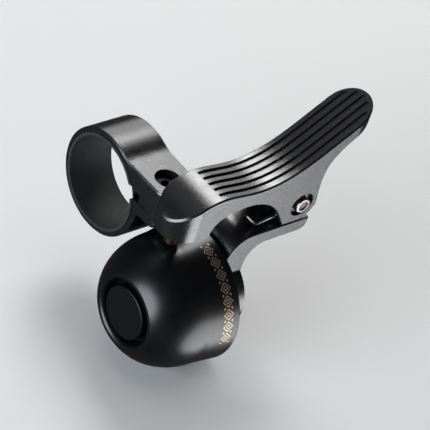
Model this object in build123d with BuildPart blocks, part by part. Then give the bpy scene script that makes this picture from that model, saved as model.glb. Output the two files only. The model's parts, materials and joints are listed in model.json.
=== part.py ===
from build123d import *
from math import acos, cos, degrees, radians, sin, sqrt
import os

os.makedirs("parts", exist_ok=True)

# Thumb-lever bicycle bell on a bar clamp, in millimetres.
# X runs along the handlebar, through the middle of the clamp at the origin.
# +Z is the outward normal of the clamp's flat plate, and the bell hangs on the -Y side.

# ---- driving dimensions: clamp ----
bar_radius = 11.1
liner_thickness = 0.7
band_thickness = 1.3
band_width = 12.0
band_edge = 0.25
plate_root_round = 9.0
ear_root_round = 1.4
plate_corner = 3.0
liner_proud = 0.2
plate_top = 11.6
plate_end = -20.2
plate_end_width = 11.2
lower_ear_end = -19.4
lower_ear_bottom = 1.3
bolt_x = -0.6
bolt_y = -14.7
counterbore = 3.15
bolt_head = 2.85
tongue_bottom = 4.2
tongue_top = 6.4
head_seat = 7.6
bolt_head_height = 1.8

# ---- driving dimensions: bell ----
bell_y = -27.3
bell_z = -13.8
bell_front = -16.7
crown_x = -2.5
crown_r = 4.5
bell_rim = 5.3
bell_radius = 15.8
rim_radius = 16.6
bell_wall = 1.6
recess_radius = 7.8
lip_round = 1.2
rim_round = 0.4
recess_floor = -11.8
cap_radius = 6.5
cap_front = -15.2
cap_hollow = 4.4
washer_thickness = 0.4
seat_thickness = 0.8
gasket_thickness = 0.3
post_radius = 3.6
flange_radius = 5.0
flange_thickness = 1.5
screw_head_height = 1.9

# ---- driving dimensions: bracket ----
arm_width = 11.5
arm_top = 5.4
arm_bottom = 1.9
base_near = 6.1
base_far = 12.4
base_radius = 10.5
base_face = 11.9
arm_edge = 0.25
arm_end = 29.4
elbow_outer = 6.4
elbow_inner = 5.0
arm_end_round = 2.4
tongue_far = 18.0
tongue_corner = 5.0
web_start = 9.0
tongue_near = -5.6
tongue_root = -12.7
pin_x = 25.2
pin_z = 10.6
knuckle_radius = 4.3
knuckle_near = -28.0
knuckle_far = -23.9

# ---- driving dimensions: lever ----
lever_width = 11.5
cheek = 2.0
roof = 2.3
nose_x = -6.8
tip_x = 35.65
ear_radius = 4.9
ear_bottom = 5.7
nose_bottom = 10.3
groove_pitch = 1.95
groove_width = 1.0
groove_depth = 0.6
groove_start = -1.5
end_lip = 1.0
edge_break = 0.35
under_edge = 0.2

# ---- driving dimensions: pivot, spring and striker ----
pin_radius = 2.0
pin_proud = 0.6
counterbore_radius = 3.25
counterbore_depth = 1.0
core_radius = 1.35
groove_radius = 1.7
clip_thickness = 0.6
clip_outer = 2.8
spool_radius = 2.5
wire_radius = 0.4
coil_radius = 3.05
striker_x = -4.7
striker_y = bell_y + 2.5
striker_gap = 0.3
striker_radius = 1.9
stem_radius = 1.25
stem_depth = 5.5
lock_nut = 4.0
lock_nut_height = 1.4

# ---- screws ----
m4_shank = 1.95
m4_bore = 2.0
m4_clear = 2.2
m3_shank = 1.45
m3_bore = 1.5
m3_clear = 1.7
hex_key = 2.5
countersink = 3.9

# ---- derived places ----
washer_top = head_seat + 0.5
insert_radius = 2.4
band_inner = bar_radius + liner_thickness
band_outer = band_inner + band_thickness
lever_front = bell_y - lever_width / 2
lever_back = bell_y + lever_width / 2
cheek_front = lever_front + cheek
cheek_back = lever_back - cheek
bell_plane = Plane(origin=(0, bell_y, bell_z), x_dir=(1, 0, 0), z_dir=(0, -1, 0))
bell_axis = Axis((0, bell_y, bell_z), (1, 0, 0))


top_line = [(-14, 12.6), (-11.4, 16.2), (-8.4, 18.5), (-4.4, 20.2), (0, 20.7), (4.5, 20.2), (9, 19.75),
            (13, 19.95), (17.5, 20.95), (21.5, 22.5), (26, 25.0), (31, 28.2), (36, 31.4), (43, 35.8)]
arch_line = [(20.8, ear_bottom), (19.3, 8.2), (17.0, 11.5), (14.3, 13.8), (11.0, 15.3), (7.0, 15.9),
             (3.5, 15.6), (0.2, 14.6), (-1.7, 13.0), (-2.4, nose_bottom)]
heel_line = [(43, 32.6), (34.8, 26.6), (32.0, 24.0), (30.2, 21.2), (29.5, 17.5), (29.7, 13.5),
             (pin_x + ear_radius, pin_z)]


def bell_disc(x_near, x_far, outer, inner=0.0):
    """A disc or washer on the bell's axis, from x_near to x_far."""
    with BuildPart() as disc:
        with BuildSketch(Plane.YZ.offset(x_near)):
            with Locations((bell_y, bell_z)):
                Circle(outer)
                if inner > 0:
                    Circle(inner, mode=Mode.SUBTRACT)
        extrude(amount=x_far - x_near)
    return disc.part


def pivot_ring(y_near, y_far, outer, inner=0.0):
    """A disc or washer on the pivot's axis, from y_near (front) to y_far (back)."""
    with BuildPart() as ring:
        with BuildSketch(Plane.XZ.offset(-y_far)):
            with Locations((pin_x, pin_z)):
                Circle(outer)
                if inner > 0:
                    Circle(inner, mode=Mode.SUBTRACT)
        extrude(amount=y_far - y_near)
    return ring.part


def save(part, name):
    """Label one finished piece and write it."""
    part.label = name
    export_step(part, f"parts/{name}.step")


# ================= clamp =================
with BuildPart() as clamp_band:
    with BuildSketch(Plane.YZ.offset(-band_width / 2)) as band_profile:
        Circle(band_outer)
        with Locations((plate_end / 2, (plate_top + tongue_top) / 2)):
            Rectangle(-plate_end, plate_top - tongue_top)
        with Locations((lower_ear_end / 2, (tongue_bottom + lower_ear_bottom) / 2)):
            Rectangle(-lower_ear_end, tongue_bottom - lower_ear_bottom)
        plate_root = band_profile.vertices().group_by(Axis.Y)[-1].sort_by(Axis.X)[-1]
        fillet(plate_root, radius=plate_root_round)
        ear_root = band_profile.vertices().filter_by_position(Axis.Y, lower_ear_bottom - 0.01,
                                                              lower_ear_bottom + 0.01)
        fillet(ear_root, radius=ear_root_round)
        Circle(band_inner, mode=Mode.SUBTRACT)
        with Locations(((plate_end - band_inner) / 2 - 1, (tongue_top + tongue_bottom) / 2)):
            Rectangle(band_inner, tongue_top - tongue_bottom, mode=Mode.SUBTRACT)
    extrude(amount=band_width)
    with BuildSketch(Plane.XY.offset(-20)):
        with BuildLine():
            Polyline((-band_width / 2, 20), (-band_width / 2, -5), (-plate_end_width / 2, plate_end),
                     (plate_end_width / 2, plate_end), (band_width / 2, -5), (band_width / 2, 20),
                     close=True)
        ends = make_face().vertices().group_by(Axis.Y)[0]
        fillet(ends, radius=plate_corner)
    extrude(amount=40, mode=Mode.INTERSECT)
    with Locations((bolt_x, bolt_y, plate_top)):
        CounterBoreHole(m3_clear, counterbore, plate_top - head_seat, depth=plate_top - tongue_top + 1)
    with Locations((bolt_x, bolt_y, tongue_bottom)):
        Hole(insert_radius, depth=5)
    for end in (0, -1):
        ring = clamp_band.edges().group_by(Axis.X)[end].filter_by(GeomType.CIRCLE)
        chamfer(ring.filter_by(lambda edge: edge.radius > band_inner + 0.1), length=band_edge)
save(clamp_band.part, "clamp_band")

with BuildPart() as clamp_liner:
    with BuildSketch(Plane.YZ.offset(-band_width / 2 - liner_proud)):
        Circle(band_inner)
        Circle(bar_radius, mode=Mode.SUBTRACT)
        with Locations((-band_inner, (tongue_top + tongue_bottom) / 2)):
            Rectangle(6, tongue_top - tongue_bottom + 1, mode=Mode.SUBTRACT)
    extrude(amount=band_width + 2 * liner_proud)
save(clamp_liner.part, "clamp_liner")

with BuildPart() as clamp_washer:
    with BuildSketch(Plane.XY.offset(head_seat)):
        with Locations((bolt_x, bolt_y)):
            Circle(3.0)
            Circle(m3_bore, mode=Mode.SUBTRACT)
    extrude(amount=washer_top - head_seat)
save(clamp_washer.part, "clamp_washer")

with BuildPart() as clamp_bolt:
    with BuildSketch(Plane.XY.offset(washer_top)):
        with Locations((bolt_x, bolt_y)):
            Circle(bolt_head)
    extrude(amount=bolt_head_height)
    head_rim = clamp_bolt.edges().group_by(Axis.Z)[-1]
    chamfer(head_rim, length=0.3)
    with BuildSketch(Plane.XY.offset(washer_top)):
        with Locations((bolt_x, bolt_y)):
            Circle(m3_shank)
    extrude(amount=-(washer_top - lower_ear_bottom + 0.3))
    with BuildSketch(Plane.XY.offset(washer_top + bolt_head_height)):
        with Locations((bolt_x, bolt_y)):
            RegularPolygon(hex_key / 2, 6, major_radius=False)
    extrude(amount=-1.2, mode=Mode.SUBTRACT)
save(clamp_bolt.part, "clamp_bolt")

with BuildPart() as clamp_thread_insert:
    with BuildSketch(Plane.XY.offset(lower_ear_bottom)):
        with Locations((bolt_x, bolt_y)):
            Circle(insert_radius)
            Circle(m3_bore, mode=Mode.SUBTRACT)
    extrude(amount=tongue_bottom - lower_ear_bottom)
save(clamp_thread_insert.part, "clamp_thread_insert")

# ================= bracket: tongue, arm, knuckle and base in one forging =================
with BuildPart() as bracket:
    with BuildSketch(Plane.XZ.offset(-lever_back)) as arm_profile:
        with BuildLine():
            Polyline((base_near, bell_z), (base_near, arm_top), (arm_end, arm_top), (arm_end, arm_bottom),
                     (base_far, arm_bottom), (base_far, bell_z), close=True)
        make_face()
        fillet(arm_profile.vertices().sort_by_distance((base_near, arm_top))[0], radius=elbow_outer)
        fillet(arm_profile.vertices().sort_by_distance((base_far, arm_bottom))[0], radius=elbow_inner)
        fillet(arm_profile.vertices().sort_by_distance((arm_end, arm_bottom))[0], radius=arm_end_round)
    extrude(amount=arm_width)
    front_edges = bracket.faces().sort_by(Axis.Y)[0].edges()
    chamfer(front_edges.filter_by_position(Axis.Z, bell_z + 0.1, arm_top + 0.1), length=arm_edge)
    with BuildSketch(Plane.YZ.offset(base_near)):
        with Locations((bell_y, bell_z)):
            Circle(base_radius)
    extrude(amount=base_face - base_near)
    with BuildSketch(Plane.YZ.offset(base_near)):
        with Locations((bell_y, bell_z)):
            Circle(arm_width / 2)
    extrude(amount=base_far - base_near)
    with BuildSketch(Plane.XZ.offset(-knuckle_far)):
        with Locations((pin_x, pin_z)):
            Circle(knuckle_radius)
        with Locations((pin_x, (arm_bottom + pin_z) / 2)):
            Rectangle(2 * knuckle_radius - 0.6, pin_z - arm_bottom)
    extrude(amount=knuckle_far - knuckle_near)
    with BuildSketch(Plane.XY.offset(tongue_bottom)) as tongue_outline:
        with BuildLine():
            Polyline((tongue_near, tongue_root), (tongue_near, plate_end), (web_start, plate_end),
                     (web_start, lever_back), (tongue_far, lever_back), (tongue_far, tongue_root),
                     close=True)
        make_face()
        fillet(tongue_outline.vertices().sort_by_distance((tongue_near, plate_end))[0],
               radius=plate_corner)
        fillet(tongue_outline.vertices().sort_by_distance((tongue_far, tongue_root))[0],
               radius=tongue_corner)
    extrude(amount=tongue_top - tongue_bottom)
    with BuildSketch(Plane.XY.offset(arm_bottom)) as web_outline:
        with BuildLine():
            Polyline((web_start, tongue_root), (web_start, lever_back), (tongue_far, lever_back),
                     (tongue_far, tongue_root), close=True)
        make_face()
        fillet(web_outline.vertices().sort_by_distance((tongue_far, tongue_root))[0],
               radius=tongue_corner)
        fillet(web_outline.vertices().sort_by_distance((web_start, tongue_root))[0], radius=2)
    extrude(amount=tongue_bottom - arm_bottom)
    with Locations((bolt_x, bolt_y, tongue_top)):
        Hole(m3_clear, depth=tongue_top - tongue_bottom)
    with BuildSketch(Plane.XZ.offset(-knuckle_far)):
        with Locations((pin_x, pin_z)):
            Circle(pin_radius)
    extrude(amount=knuckle_far - knuckle_near, mode=Mode.SUBTRACT)
    with Locations(Plane(origin=(base_far, bell_y, bell_z), z_dir=(1, 0, 0))):
        CounterSinkHole(m4_clear, countersink + 0.2, depth=base_far - base_near)
save(bracket.part, "bracket")

# ================= bell =================
crown_sweep = degrees(acos((recess_radius - crown_r) / (bell_radius - crown_r)))
with BuildPart() as bell_dome:
    with BuildSketch(bell_plane) as dome_profile:
        with BuildLine():
            crown = EllipticalCenterArc((crown_x, crown_r), crown_x - bell_front, bell_radius - crown_r,
                                        90, arc_size=crown_sweep)
            inner_crown = EllipticalCenterArc((crown_x, crown_r), crown_x - bell_front - bell_wall,
                                              bell_radius - bell_wall - crown_r, 90, arc_size=63)
            Line(crown @ 1, (recess_floor, recess_radius))
            Line((recess_floor, recess_radius), (recess_floor, m4_clear))
            Line((recess_floor, m4_clear), (recess_floor + bell_wall, m4_clear))
            Line((recess_floor + bell_wall, m4_clear), (recess_floor + bell_wall, (inner_crown @ 1).Y))
            Line((recess_floor + bell_wall, (inner_crown @ 1).Y), inner_crown @ 1)
            Line(inner_crown @ 0, (bell_rim, rim_radius - bell_wall))
            Line((bell_rim, rim_radius - bell_wall), (bell_rim, rim_radius))
            Line((bell_rim, rim_radius), crown @ 0)
        make_face()
        fillet(dome_profile.vertices().group_by(Axis.X)[0], radius=lip_round)
        fillet(dome_profile.vertices().group_by(Axis.X)[-1], radius=rim_round)
    revolve(axis=bell_axis)
save(bell_dome.part, "bell_dome")

screw_seat = recess_floor - washer_thickness
dome_inside = recess_floor + bell_wall
post_near = dome_inside + seat_thickness
post_far = base_near - gasket_thickness
save(bell_disc(screw_seat, recess_floor, 4.2, 2.05), "dome_front_washer")
save(bell_disc(dome_inside, post_near, flange_radius, 2.05), "dome_seat_washer")
save(bell_disc(post_far, base_near, flange_radius, 2.05), "post_gasket")

with BuildPart() as dome_post:
    with BuildSketch(Plane.YZ.offset(post_near)):
        with Locations((bell_y, bell_z)):
            Circle(post_radius)
    extrude(amount=post_far - post_near)
    with BuildSketch(Plane.YZ.offset(post_far)):
        with Locations((bell_y, bell_z)):
            Circle(flange_radius)
    extrude(amount=-flange_thickness)
    with BuildSketch(Plane.YZ.offset(post_near)):
        with Locations((bell_y, bell_z)):
            Circle(m4_bore)
    extrude(amount=post_far - post_near, mode=Mode.SUBTRACT)
save(dome_post.part, "dome_post")

with BuildPart() as dome_screw:
    with BuildSketch(Plane.YZ.offset(screw_seat)):
        with Locations((bell_y, bell_z)):
            Circle(countersink)
    extrude(amount=-screw_head_height)
    fillet(dome_screw.edges().group_by(Axis.X)[0], radius=1.0)
    with BuildSketch(Plane.YZ.offset(screw_seat)):
        with Locations((bell_y, bell_z)):
            Circle(m4_shank)
    extrude(amount=8.4)
    with BuildSketch(Plane.YZ.offset(screw_seat - screw_head_height)):
        with Locations((bell_y, bell_z)):
            RegularPolygon(hex_key / 2, 6, major_radius=False)
    extrude(amount=1.3, mode=Mode.SUBTRACT)
save(dome_screw.part, "dome_screw")

with BuildPart() as dome_cap:
    with BuildSketch(Plane.YZ.offset(recess_floor)):
        with Locations((bell_y, bell_z)):
            Circle(cap_radius)
    extrude(amount=cap_front - recess_floor)
    fillet(dome_cap.edges().group_by(Axis.X)[0], radius=0.35)
    with BuildSketch(Plane.YZ.offset(recess_floor)):
        with Locations((bell_y, bell_z)):
            Circle(cap_hollow)
    extrude(amount=-2.6, mode=Mode.SUBTRACT)
save(dome_cap.part, "dome_cap")

with BuildPart() as post_screw:
    with BuildSketch(bell_plane):
        with BuildLine():
            Polyline((base_far, 0), (base_far, countersink), (base_far - screw_head_height, m4_shank),
                     (-1.5, m4_shank), (-2.0, m4_shank - 0.5), (-2.0, 0), close=True)
        make_face()
    revolve(axis=bell_axis)
    with BuildSketch(Plane.YZ.offset(base_far)):
        with Locations((bell_y, bell_z)):
            RegularPolygon(hex_key / 2, 6, major_radius=False)
    extrude(amount=-1.6, mode=Mode.SUBTRACT)
save(post_screw.part, "post_screw")

# ================= lever =================
with BuildPart() as lever:
    with BuildSketch(Plane.XZ.offset(-lever_back)):
        with BuildLine():
            Spline(top_line)
            Line(top_line[-1], heel_line[0])
            Spline(heel_line)
            ThreePointArc((pin_x + ear_radius, pin_z),
                          (pin_x + ear_radius * cos(radians(45)), pin_z - ear_radius * sin(radians(45))),
                          (pin_x, pin_z - ear_radius))
            Line((pin_x, pin_z - ear_radius), arch_line[0])
            Spline(arch_line)
            Line(arch_line[-1], (top_line[0][0], nose_bottom))
            Line((top_line[0][0], nose_bottom), top_line[0])
        make_face()
    extrude(amount=lever_width)
    with BuildSketch(Plane.XY):
        with Locations(((nose_x + tip_x) / 2, bell_y)):
            SlotCenterToCenter(tip_x - nose_x, lever_width)
    extrude(amount=50, mode=Mode.INTERSECT)
    top_face = lever.faces().sort_by(Axis.Z)[-1]
    chamfer(top_face.edges(), length=edge_break)
    for cheek_face in (lever.faces().sort_by(Axis.Y)[0], lever.faces().sort_by(Axis.Y)[-1]):
        under_edges = cheek_face.edges().filter_by_position(Axis.Z, ear_bottom - 1, 18)
        chamfer(under_edges.filter_by(GeomType.LINE, reverse=True), length=under_edge)
    with BuildSketch(Plane.XZ.offset(-cheek_back)):
        under_roof = [(x, z - roof) for x, z in top_line if 0 <= x <= 36]
        with BuildLine():
            Spline(under_roof)
            Polyline(under_roof[-1], (36, 0), (0, 0), under_roof[0])
        make_face()
    extrude(amount=cheek_back - cheek_front, mode=Mode.SUBTRACT)
    groove_floor = [(x, z - groove_depth) for x, z in top_line]
    for row in range(-2, 3):
        groove_end = tip_x + sqrt((lever_width / 2 - end_lip) ** 2 - (row * groove_pitch) ** 2)
        with BuildSketch(Plane.XZ.offset(-(bell_y + row * groove_pitch + groove_width / 2))):
            with BuildLine():
                Spline(groove_floor)
                Polyline(groove_floor[-1], (groove_floor[-1][0], 45), (groove_floor[0][0], 45),
                         groove_floor[0])
            make_face()
            with Locations(((groove_start + groove_end) / 2, 20)):
                Rectangle(groove_end - groove_start, 80, mode=Mode.INTERSECT)
        extrude(amount=groove_width, mode=Mode.SUBTRACT)
    with BuildSketch(Plane.XZ.offset(-lever_back)):
        with Locations((pin_x, pin_z)):
            Circle(pin_radius + 0.05)
    extrude(amount=lever_width, mode=Mode.SUBTRACT)
    for face_y, depth in ((lever_front, -counterbore_depth), (lever_back, counterbore_depth)):
        with BuildSketch(Plane.XZ.offset(-face_y)):
            with Locations((pin_x, pin_z)):
                Circle(counterbore_radius)
        extrude(amount=depth, mode=Mode.SUBTRACT)
    with BuildSketch(Plane.XY.offset(nose_bottom)):
        with Locations((striker_x, striker_y)):
            Circle(stem_radius + 0.05)
    extrude(amount=stem_depth + 0.5, mode=Mode.SUBTRACT)
save(lever.part, "lever")

# ================= pivot =================
pin_front = lever_front - pin_proud
pin_back = lever_back + 0.25
clip_near = lever_back - counterbore_depth + 0.15
clip_far = clip_near + clip_thickness
with BuildPart() as pivot_pin:
    with BuildSketch(Plane.XZ.offset(-pin_back)):
        with Locations((pin_x, pin_z)):
            Circle(pin_radius)
    extrude(amount=pin_back - pin_front)
    fillet(pivot_pin.edges().group_by(Axis.Y)[0], radius=0.25)
    with BuildSketch(Plane.XZ.offset(-clip_far)):
        with Locations((pin_x, pin_z)):
            Circle(pin_radius + 1)
            Circle(groove_radius, mode=Mode.SUBTRACT)
    extrude(amount=clip_far - clip_near, mode=Mode.SUBTRACT)
    with BuildSketch(Plane.XZ.offset(-pin_back)):
        with Locations((pin_x, pin_z)):
            Circle(core_radius)
    extrude(amount=pin_back - pin_front, mode=Mode.SUBTRACT)
save(pivot_pin.part, "pivot_pin")
washer_back = cheek_front + 0.35
pin_fit = pin_radius + 0.03
save(pivot_ring(pin_front + 0.35, pin_back - 0.35, core_radius), "pivot_pin_core")
save(pivot_ring(cheek_front + 0.1, washer_back, spool_radius, pin_fit), "pivot_washer_front")
save(pivot_ring(knuckle_far, cheek_back - 0.1, 3.6, pin_fit), "pivot_washer_back")
save(pivot_ring(washer_back, knuckle_near, spool_radius, pin_fit), "spring_spool")

with BuildPart() as pin_clip:
    with BuildSketch(Plane.XZ.offset(-clip_far)):
        with Locations((pin_x, pin_z)):
            Circle(clip_outer)
            Circle(groove_radius, mode=Mode.SUBTRACT)
        with Locations((pin_x + 2, pin_z)):
            Rectangle(3, 1.9, mode=Mode.SUBTRACT)
    extrude(amount=clip_far - clip_near)
save(pin_clip.part, "pin_clip")

# ================= return spring =================
foot = (14.8, arm_top + wire_radius + 0.05)
foot_end = (10.6, 10.0)
lead = 2.5
head_reach = 13.8
coil_y = cheek_front + 0.6
coil_pitch = 0.85
start_angle = -80.0
leave_angle = -4.4
turns = 2 + (leave_angle - start_angle) / 360
coil = Helix(coil_pitch, turns * coil_pitch, coil_radius, center=(pin_x, coil_y, pin_z),
             direction=(0, 1, 0), lefthand=True)
coil = coil.rotate(Axis((pin_x, coil_y, pin_z), (0, 1, 0)), 90 - start_angle)
with BuildLine() as spring_line:
    FilletPolyline((foot_end[0], coil_y, foot_end[1]), (foot[0], coil_y, foot[1]),
                   coil @ 0 - (coil % 0) * lead, coil @ 0, radius=[1.2, 6])
    add(coil)
    Line(coil @ 1, coil @ 1 + (coil % 1) * head_reach)
with BuildPart() as return_spring:
    with BuildSketch(Plane(origin=spring_line.line @ 0, z_dir=spring_line.line % 0)):
        Circle(wire_radius)
    sweep(path=spring_line.wire())
save(return_spring.part, "return_spring")

# ================= striker =================
crest = bell_z + bell_radius
head_low = crest + striker_gap
striker_plane = Plane(origin=(striker_x, striker_y, 0), x_dir=(1, 0, 0), z_dir=(0, -1, 0))
with BuildPart() as striker:
    with BuildSketch(striker_plane):
        with BuildLine():
            Line((0, head_low), (striker_radius - 1.1, head_low))
            RadiusArc((striker_radius - 1.1, head_low), (striker_radius, head_low + 1.1), -1.1)
            Polyline((striker_radius, head_low + 1.1), (striker_radius, head_low + 2.0),
                     (stem_radius, head_low + 2.6), (stem_radius, nose_bottom + stem_depth),
                     (0, nose_bottom + stem_depth), (0, head_low))
        make_face()
    revolve(axis=Axis((striker_x, striker_y, 0), (0, 0, 1)))
save(striker.part, "striker")

with BuildPart() as striker_lock_nut:
    with BuildSketch(Plane.XY.offset(nose_bottom - lock_nut_height)):
        with Locations((striker_x, striker_y)):
            RegularPolygon(lock_nut / 2, 6, major_radius=False)
            Circle(stem_radius + 0.05, mode=Mode.SUBTRACT)
    extrude(amount=lock_nut_height)
save(striker_lock_nut.part, "striker_lock_nut")
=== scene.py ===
import bpy
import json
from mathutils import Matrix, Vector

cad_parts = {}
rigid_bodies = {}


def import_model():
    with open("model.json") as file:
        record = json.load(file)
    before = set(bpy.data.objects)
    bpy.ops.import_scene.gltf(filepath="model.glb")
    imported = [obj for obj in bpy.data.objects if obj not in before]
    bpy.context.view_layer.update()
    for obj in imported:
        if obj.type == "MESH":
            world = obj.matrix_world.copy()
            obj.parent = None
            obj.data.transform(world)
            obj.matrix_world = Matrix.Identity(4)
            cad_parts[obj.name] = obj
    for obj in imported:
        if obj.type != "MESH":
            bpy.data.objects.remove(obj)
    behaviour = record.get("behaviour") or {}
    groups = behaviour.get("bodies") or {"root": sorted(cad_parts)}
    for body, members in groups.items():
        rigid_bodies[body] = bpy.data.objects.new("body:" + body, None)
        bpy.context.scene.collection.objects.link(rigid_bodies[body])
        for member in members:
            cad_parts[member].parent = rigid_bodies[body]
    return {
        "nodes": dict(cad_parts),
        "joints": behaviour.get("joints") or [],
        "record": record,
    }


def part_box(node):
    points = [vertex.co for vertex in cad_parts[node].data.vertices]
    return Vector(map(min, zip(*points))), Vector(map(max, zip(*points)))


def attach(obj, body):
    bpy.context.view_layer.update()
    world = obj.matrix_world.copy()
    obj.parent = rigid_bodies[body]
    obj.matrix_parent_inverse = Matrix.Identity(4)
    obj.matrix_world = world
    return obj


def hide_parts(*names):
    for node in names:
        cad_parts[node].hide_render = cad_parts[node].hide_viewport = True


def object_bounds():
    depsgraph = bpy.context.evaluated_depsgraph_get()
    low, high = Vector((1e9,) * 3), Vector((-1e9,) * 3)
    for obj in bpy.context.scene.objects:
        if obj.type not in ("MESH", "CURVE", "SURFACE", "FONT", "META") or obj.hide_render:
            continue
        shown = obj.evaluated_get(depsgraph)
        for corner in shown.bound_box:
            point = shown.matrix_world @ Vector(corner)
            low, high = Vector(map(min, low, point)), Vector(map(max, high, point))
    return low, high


for leftover in list(bpy.data.objects):
    bpy.data.objects.remove(leftover)
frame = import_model()
cad_low, cad_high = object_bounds()

import json
import math

import bmesh
from mathutils import Matrix, Vector

MM = 0.001
NODES = frame["nodes"]
ROOT_BODY = "bell_body"
LEVER_BODY = "thumb_lever"


# ======================= places taken from the frame =======================
pivot = next(j for j in frame["joints"] if j["name"] == "lever_pivot")
PIVOT = Vector(pivot["pos_m"])
dome_low, dome_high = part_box("bell_dome")
DOME_Y = (dome_low.y + dome_high.y) / 2
DOME_Z = (dome_low.z + dome_high.z) / 2
RIM_X = dome_high.x
RIM_RADIUS = 16.6 * MM    # the skirt's radius at its open end, before its edge is rounded


# ======================= materials =======================
class Shader:
    """A Principled material under construction, with short calls for the nodes it needs."""

    def __init__(self, name, colour, roughness, metallic=0.0, ior=1.5):
        self.material = bpy.data.materials.new(name)
        self.material.use_nodes = True
        self.tree = self.material.node_tree
        self.surface = self.tree.nodes["Principled BSDF"]
        self.set("Base Color", (*colour, 1))
        self.set("Roughness", roughness)
        self.set("Metallic", metallic)
        self.set("IOR", ior)
        self.place = self.node("ShaderNodeTexCoord").outputs["Object"]

    def node(self, kind, **settings):
        made = self.tree.nodes.new(kind)
        for key, value in settings.items():
            setattr(made, key, value)
        return made

    def set(self, socket, value):
        self.surface.inputs[socket].default_value = value

    def link(self, output, socket):
        self.tree.links.new(output, socket)

    def noise(self, feature, detail=2.0, roughness=0.5, stretch=(1, 1, 1)):
        """Noise whose blobs are about `feature` metres across, in the part's own coordinates."""
        mapping = self.node("ShaderNodeMapping")
        mapping.inputs["Scale"].default_value = stretch
        self.link(self.place, mapping.inputs["Vector"])
        made = self.node("ShaderNodeTexNoise")
        made.inputs["Scale"].default_value = 1 / feature
        made.inputs["Detail"].default_value = detail
        made.inputs["Roughness"].default_value = roughness
        self.link(mapping.outputs[0], made.inputs["Vector"])
        return made.outputs["Fac"]

    def span(self, value, low, high):
        """The noise, which keeps mostly within 0.3..0.7, given the range low..high."""
        made = self.node("ShaderNodeMapRange")
        made.inputs["From Min"].default_value = 0.3
        made.inputs["From Max"].default_value = 0.7
        made.inputs["To Min"].default_value = low
        made.inputs["To Max"].default_value = high
        self.link(value, made.inputs["Value"])
        return made.outputs["Result"]

    def tint(self, value, dark, light):
        """A colour between dark and light, by value."""
        made = self.node("ShaderNodeMix", data_type="RGBA")
        made.inputs[6].default_value = (*dark, 1)
        made.inputs[7].default_value = (*light, 1)
        self.link(value, made.inputs["Factor"])
        return made.outputs[2]

    def colour(self, output):
        self.link(output, self.surface.inputs["Base Color"])

    def roughness(self, output):
        self.link(output, self.surface.inputs["Roughness"])

    def bump(self, height, depth, strength):
        """Raises the surface by the 0..1 height times `depth` metres."""
        made = self.node("ShaderNodeBump")
        made.inputs["Distance"].default_value = depth
        made.inputs["Strength"].default_value = strength
        self.link(height, made.inputs["Height"])
        self.link(made.outputs["Normal"], self.surface.inputs["Normal"])


def anodised():
    """Bead-blasted aluminium, anodised black: satin, with a fine grain and faint clouding."""
    s = Shader("anodised_aluminium", (0.006, 0.006, 0.007), 0.27, ior=1.77)
    grain = s.noise(0.3 * MM, detail=3, roughness=0.6)
    clouds = s.noise(3.5 * MM, detail=4)
    s.colour(s.tint(grain, (0.003, 0.003, 0.004), (0.009, 0.009, 0.010)))
    s.roughness(s.span(clouds, 0.23, 0.29))
    s.bump(grain, 0.05 * MM, 0.6)
    return s.material


def enamel():
    """Smooth black enamel on the dome, with the faintest orange peel."""
    s = Shader("dome_enamel", (0.004, 0.004, 0.005), 0.3, ior=1.5)
    peel = s.noise(0.9 * MM, detail=2)
    haze = s.noise(6 * MM, detail=4)
    s.colour(s.tint(haze, (0.0015, 0.0015, 0.002), (0.004, 0.004, 0.0045)))
    s.roughness(s.span(haze, 0.27, 0.33))
    s.bump(peel, 0.004 * MM, 0.4)
    return s.material


def matt_cap():
    """The dome's moulded cap: matt black with a fine spark-eroded texture."""
    s = Shader("moulded_cap", (0.003, 0.003, 0.003), 0.38, ior=1.36)
    texture = s.noise(0.18 * MM, detail=3)
    s.colour(s.tint(texture, (0.0015, 0.0015, 0.0015), (0.0045, 0.0045, 0.0045)))
    s.roughness(s.span(texture, 0.33, 0.43))
    s.bump(texture, 0.015 * MM, 0.5)
    return s.material


def rubber(name):
    """Black rubber or fibre, dull and slightly dusty."""
    s = Shader(name, (0.012, 0.012, 0.012), 0.75, ior=1.5)
    dust = s.noise(1.6 * MM, detail=5)
    s.colour(s.tint(dust, (0.008, 0.008, 0.008), (0.020, 0.020, 0.020)))
    s.roughness(s.span(dust, 0.68, 0.85))
    s.bump(s.noise(0.3 * MM, detail=3), 0.02 * MM, 0.5)
    return s.material


def metal(name, dark, light, roughness, scratch=(1, 1, 1)):
    """A bare metal with turning or drawing marks stretched along one axis."""
    s = Shader(name, light, roughness, metallic=1.0)
    marks = s.noise(0.15 * MM, detail=3, stretch=scratch)
    s.colour(s.tint(s.noise(1.2 * MM, detail=4), dark, light))
    s.roughness(s.span(marks, roughness - 0.05, roughness + 0.08))
    s.bump(marks, 0.004 * MM, 0.35)
    return s.material


def gold_ink():
    """The thin metallic print of the ornament."""
    s = Shader("gold_print", (0.50, 0.40, 0.26), 0.42, metallic=0.75)
    wear = s.noise(0.35 * MM, detail=3)
    s.colour(s.tint(wear, (0.34, 0.27, 0.17), (0.60, 0.49, 0.34)))
    s.roughness(s.span(wear, 0.36, 0.5))
    return s.material


MATERIALS = {
    "black_anodised": anodised(),
    "black_enamel": enamel(),
    "matte_cap": matt_cap(),
    "black_rubber": rubber("liner_rubber"),
    "steel": metal("plated_steel", (0.30, 0.30, 0.31), (0.46, 0.46, 0.47), 0.24, (1, 8, 1)),
    "black_steel": metal("black_oxide_steel", (0.009, 0.009, 0.010), (0.018, 0.018, 0.020), 0.4),
    "brass": metal("dull_brass", (0.07, 0.045, 0.020), (0.13, 0.090, 0.043), 0.38, (1, 1, 8)),
    "bronze": metal("sintered_bronze", (0.11, 0.065, 0.042), (0.20, 0.125, 0.085), 0.4),
    "fibre": rubber("black_fibre"),
}
GOLD = gold_ink()


def dress(obj, material):
    """Gives the object one material all over."""
    if obj.material_slots:
        for slot in obj.material_slots:
            slot.material = material
    else:
        obj.data.materials.append(material)


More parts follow.
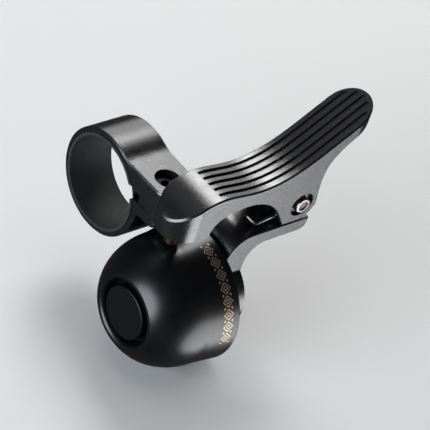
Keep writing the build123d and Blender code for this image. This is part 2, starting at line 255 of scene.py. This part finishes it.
slot_of = {s["node"]: s["material_slot"] for s in frame["record"]["subparts"]}
for name, node in NODES.items():
    dress(node, MATERIALS[slot_of[name]])


# ======================= return spring =======================
WIRE = 0.4 * MM
COIL_RADIUS = 3.05 * MM
COIL_PITCH = 0.85 * MM
COIL_START = math.radians(-80)
COIL_TURNS = 2 + 75.6 / 360
SPRING_Y = PIVOT.y - 3.15 * MM
FOOT = Vector((14.8 * MM, SPRING_Y, 5.85 * MM))
FOOT_END = Vector((10.6 * MM, SPRING_Y, 10.0 * MM))
FOOT_BEND = 1.2 * MM
HEAD_REACH = 13.8 * MM
LOWER_TURNS = 1.3     # the turns that stay with the foot
UPPER_FROM = 1.25     # the turn where the lever's part begins, inside the last of those


def coil_point(turn):
    """A point of the coil, `turn` turns from its start at the foot's end."""
    angle = COIL_START + 2 * math.pi * turn
    return Vector((PIVOT.x + COIL_RADIUS * math.cos(angle), SPRING_Y + COIL_PITCH * turn,
                   PIVOT.z + COIL_RADIUS * math.sin(angle)))


def coil_run(first, last, steps_per_turn=48):
    """Points along the coil from turn `first` to turn `last`."""
    count = max(2, round((last - first) * steps_per_turn))
    return [coil_point(first + (last - first) * i / count) for i in range(count + 1)]


def bend(before, corner, after, radius, steps=8):
    """Points of a round bend at corner, between its two straight runs."""
    a = (before - corner).normalized()
    b = (after - corner).normalized()
    half = a.angle(b) / 2
    reach = radius / math.tan(half)
    middle = corner + (a + b).normalized() * (radius / math.sin(half))
    start = (corner + a * reach - middle).normalized()
    end = (corner + b * reach - middle).normalized()
    return [middle + start.slerp(end, i / steps) * radius for i in range(steps + 1)]


def wire_piece(name, points, body):
    """A round wire along the points, with flat filled ends, as a piece that rides on body."""
    curve = bpy.data.curves.new(name, "CURVE")
    curve.dimensions = "3D"
    curve.bevel_depth = WIRE
    curve.bevel_resolution = 4
    curve.use_fill_caps = True
    line = curve.splines.new("POLY")
    line.points.add(len(points) - 1)
    for target, point in zip(line.points, points):
        target.co = (*point, 1)
    line.use_smooth = True
    obj = bpy.data.objects.new(name, curve)
    bpy.context.scene.collection.objects.link(obj)
    obj.data.materials.append(MATERIALS["steel"])
    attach(obj, body)
    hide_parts("return_spring")


def make_spring():
    """The foot and coil stay with the bracket; the last turn and the upper leg ride the lever."""
    lower = [FOOT_END] + bend(FOOT_END, FOOT, coil_point(0), FOOT_BEND) + coil_run(0, LOWER_TURNS)
    wire_piece("spring_foot_and_coil", lower, ROOT_BODY)
    top = coil_point(COIL_TURNS)
    along = (top - coil_point(COIL_TURNS - 0.002)).normalized()
    leg = [top + along * HEAD_REACH * 0.5, top + along * HEAD_REACH]
    wire_piece("spring_upper_leg", coil_run(UPPER_FROM, COIL_TURNS) + leg, LEVER_BODY)


make_spring()


# ======================= ornament on the dome's skirt =======================
SKIRT_TAPER = 0.8 / 7.8
BAND_X = 2.1 * MM
BAND_HALF = 1.35 * MM
BAND_FROM = math.radians(6)
BAND_TO = math.radians(94)
STROKE = 0.16 * MM
STROKE_ANGLE = STROKE / RIM_RADIUS
PRINT_HEIGHT = 0.02 * MM
MOTIFS = 8
BIG_SHARE = 0.46      # a big lozenge's half length, in motif pitches
SMALL_SHARE = 0.45    # the small lozenge inside it, against the big one


def on_skirt(angle, x, lift):
    """A point on the dome's skirt: angle from the top towards the front, x along the axis."""
    radius = RIM_RADIUS - (RIM_X - x) * SKIRT_TAPER + lift
    return Vector((x, DOME_Y - radius * math.sin(angle), DOME_Z + radius * math.cos(angle)))


def outline(mesh, centre, outer, inner):
    """A raised closed band between two outlines, each a list of (angle, x) offsets from centre."""
    count = len(outer)
    section = [(outer, -PRINT_HEIGHT), (outer, PRINT_HEIGHT),
               (inner, PRINT_HEIGHT), (inner, -PRINT_HEIGHT)]
    rings = [[mesh.verts.new(on_skirt(centre + a, BAND_X + x, lift)) for a, x in shape]
             for shape, lift in section]
    for near, far in zip(rings, rings[1:] + rings[:1]):
        for i in range(count):
            j = (i + 1) % count
            mesh.faces.new((near[i], near[j], far[j], far[i]))


def lozenge(half_angle, half_width, steps=5):
    """A lozenge as (angle, x) offsets, with steps points along each side."""
    corners = [(half_angle, 0), (0, half_width), (-half_angle, 0), (0, -half_width)]
    points = []
    for (a0, x0), (a1, x1) in zip(corners, corners[1:] + corners[:1]):
        points += [(a0 + (a1 - a0) * i / steps, x0 + (x1 - x0) * i / steps) for i in range(steps)]
    return points


def make_ornament():
    """A row of double lozenges in gold outline, with two small diamonds between each pair."""
    mesh = bmesh.new()
    pitch = (BAND_TO - BAND_FROM) / MOTIFS
    big = pitch * BIG_SHARE
    small = big * SMALL_SHARE
    small_half = BAND_HALF * SMALL_SHARE
    for i in range(MOTIFS):
        centre = BAND_FROM + pitch * (i + 0.5)
        outline(mesh, centre, lozenge(big, BAND_HALF),
                lozenge(big - STROKE_ANGLE * 1.7, BAND_HALF - STROKE * 1.4))
        outline(mesh, centre, lozenge(small, small_half),
                lozenge(small - STROKE_ANGLE * 1.5, small_half - STROKE * 1.2))
    for i in range(MOTIFS + 1):
        centre = BAND_FROM + pitch * i
        for side in (-1, 1):
            shift = side * BAND_HALF * 0.72
            dot = [(a, x + shift) for a, x in lozenge(pitch * 0.11, STROKE * 1.6)]
            core = [(a, x + shift) for a, x in lozenge(pitch * 0.02, STROKE * 0.3)]
            outline(mesh, centre, dot, core)
    bmesh.ops.recalc_face_normals(mesh, faces=mesh.faces)
    data = bpy.data.meshes.new("skirt_ornament")
    mesh.to_mesh(data)
    mesh.free()
    obj = bpy.data.objects.new("skirt_ornament", data)
    bpy.context.scene.collection.objects.link(obj)
    data.materials.append(GOLD)
    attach(obj, ROOT_BODY)


make_ornament()


# ======================= floor and backdrop =======================
FLOOR_GAP = 0.2 * MM
FLOOR_Z = cad_low.z - FLOOR_GAP
FLOOR_COLOUR = (0.74, 0.74, 0.735)
# radius and height of each ring: flat to 0.7 m, then a sweep up into a wall
FLOOR_RINGS = [(0.35, 0.0), (0.7, 0.0), (1.0, 0.02), (1.2, 0.12), (1.3, 0.3), (1.33, 0.7),
               (1.33, 1.5)]
FLOOR_SEGMENTS = 72


def floor_paint():
    """Matt pale paint, with the faintest mottling."""
    s = Shader("pale_floor", FLOOR_COLOUR, 0.9)
    mottle = s.noise(60 * MM, detail=2)
    s.colour(s.tint(mottle, [c * 0.985 for c in FLOOR_COLOUR], FLOOR_COLOUR))
    return s.material


def floor_ring(mesh, radius, height):
    ring = []
    for i in range(FLOOR_SEGMENTS):
        angle = 2 * math.pi * i / FLOOR_SEGMENTS
        place = (radius * math.cos(angle), radius * math.sin(angle), FLOOR_Z + height)
        ring.append(mesh.verts.new(place))
    return ring


def make_floor():
    """A round pale floor that sweeps up into a wall far behind, as a studio cove does.

    The low front light stands below it, so it casts no shadow and is in no reflection.
    """
    mesh = bmesh.new()
    rings = [floor_ring(mesh, radius, height) for radius, height in FLOOR_RINGS]
    mesh.faces.new(rings[0])
    for low, high in zip(rings, rings[1:]):
        for i in range(FLOOR_SEGMENTS):
            j = (i + 1) % FLOOR_SEGMENTS
            mesh.faces.new((low[i], high[i], high[j], low[j]))
    data = bpy.data.meshes.new("studio_floor")
    mesh.to_mesh(data)
    mesh.free()
    for face in data.polygons:
        face.use_smooth = True
    obj = bpy.data.objects.new("studio_floor", data)
    bpy.context.scene.collection.objects.link(obj)
    data.materials.append(floor_paint())
    obj.visible_glossy = False
    obj.visible_shadow = False


make_floor()


# ======================= light =======================
TARGET = (cad_low + cad_high) / 2
WORLD_BELOW = 0.05
WORLD_ABOVE = 0.015


def direction(azimuth, elevation):
    """Unit vector from the object, in degrees: azimuth from +X towards +Y, elevation upwards."""
    a, e = math.radians(azimuth), math.radians(elevation)
    return Vector((math.cos(a) * math.cos(e), math.sin(a) * math.cos(e), math.sin(e)))


def softbox(name, azimuth, elevation, distance, half_angle, radiance, colour=(1, 1, 1),
            glossy=True):
    """A round soft light that faces the object and fills half_angle degrees each way.

    The radiance sets its power: the light looks as bright from any distance.
    """
    radius = distance * math.tan(math.radians(half_angle))
    light = bpy.data.lights.new(name, "AREA")
    light.shape = "DISK"
    light.size = 2 * radius
    light.energy = radiance * math.pi * math.pi * radius ** 2
    light.color = colour
    obj = bpy.data.objects.new(name, light)
    bpy.context.scene.collection.objects.link(obj)
    away = direction(azimuth, elevation)
    obj.location = TARGET + away * distance
    obj.rotation_mode = "QUATERNION"
    obj.rotation_quaternion = away.to_track_quat("Z", "Y")
    obj.visible_camera = False
    obj.visible_glossy = glossy


softbox("front_low", -67, -28, 0.4, 23, 5.2, (0.97, 0.98, 1.0))
softbox("left_side", -176, 9, 0.5, 24, 7.6, (0.86, 0.93, 1.0))
softbox("back_right", 51, 54, 0.6, 12, 11.5)
softbox("back_right_low", 46, 24, 0.5, 17, 2)
softbox("back_left", 119, 57, 0.6, 12, 0.25)
softbox("overhead", 20, 86, 0.9, 30, 0.8, glossy=False)


def make_world():
    """A dim room: a little paler from below, near dark from above."""
    world = bpy.data.worlds.new("studio")
    world.use_nodes = True
    nodes, links = world.node_tree.nodes, world.node_tree.links
    place = nodes.new("ShaderNodeTexCoord")
    split = nodes.new("ShaderNodeSeparateXYZ")
    links.new(place.outputs["Generated"], split.inputs[0])
    ramp = nodes.new("ShaderNodeMapRange")
    ramp.inputs["From Min"].default_value = -0.35
    ramp.inputs["From Max"].default_value = 0.25
    ramp.inputs["To Min"].default_value = WORLD_BELOW
    ramp.inputs["To Max"].default_value = WORLD_ABOVE
    links.new(split.outputs["Z"], ramp.inputs["Value"])
    links.new(ramp.outputs["Result"], nodes["Background"].inputs["Strength"])
    nodes["Background"].inputs["Color"].default_value = (1, 1, 1, 1)
    bpy.context.scene.world = world


make_world()


# ======================= camera =======================
AZIMUTH = math.radians(-47.6)
ELEVATION = math.radians(38.8)
ROLL = math.radians(17.3)
DISTANCE = 555.6 * MM
AIM_RIGHT = 21.9 * MM
AIM_UP = -9.1 * MM
LENS = 201.4
SENSOR_WIDTH = 36


def make_camera():
    """The camera stands DISTANCE from the clamp's centre and looks past it, down to the right.

    AZIMUTH turns it about Z from a view along +Y, ELEVATION raises it, and ROLL tips the picture.
    """
    level = math.cos(ELEVATION)
    back = Vector((math.sin(AZIMUTH) * level, -math.cos(AZIMUTH) * level, math.sin(ELEVATION)))
    right = Vector((math.cos(AZIMUTH), math.sin(AZIMUTH), 0))
    up = back.cross(right)
    image_right = right * math.cos(ROLL) + up * math.sin(ROLL)
    image_up = up * math.cos(ROLL) - right * math.sin(ROLL)
    place = back * DISTANCE
    aim = image_right * AIM_RIGHT + image_up * AIM_UP
    look = (aim - place).normalized()
    side = look.cross(image_up).normalized()
    top = side.cross(look)
    data = bpy.data.cameras.new("camera")
    data.lens = LENS
    data.sensor_width = SENSOR_WIDTH
    data.clip_start = 0.01
    data.clip_end = 10
    camera = bpy.data.objects.new("camera", data)
    bpy.context.scene.collection.objects.link(camera)
    camera.matrix_world = Matrix((
        (side.x, top.x, -look.x, place.x),
        (side.y, top.y, -look.y, place.y),
        (side.z, top.z, -look.z, place.z),
        (0, 0, 0, 1),
    ))
    bpy.context.scene.camera = camera


make_camera()
bpy.context.scene.view_settings.view_transform = "Standard"
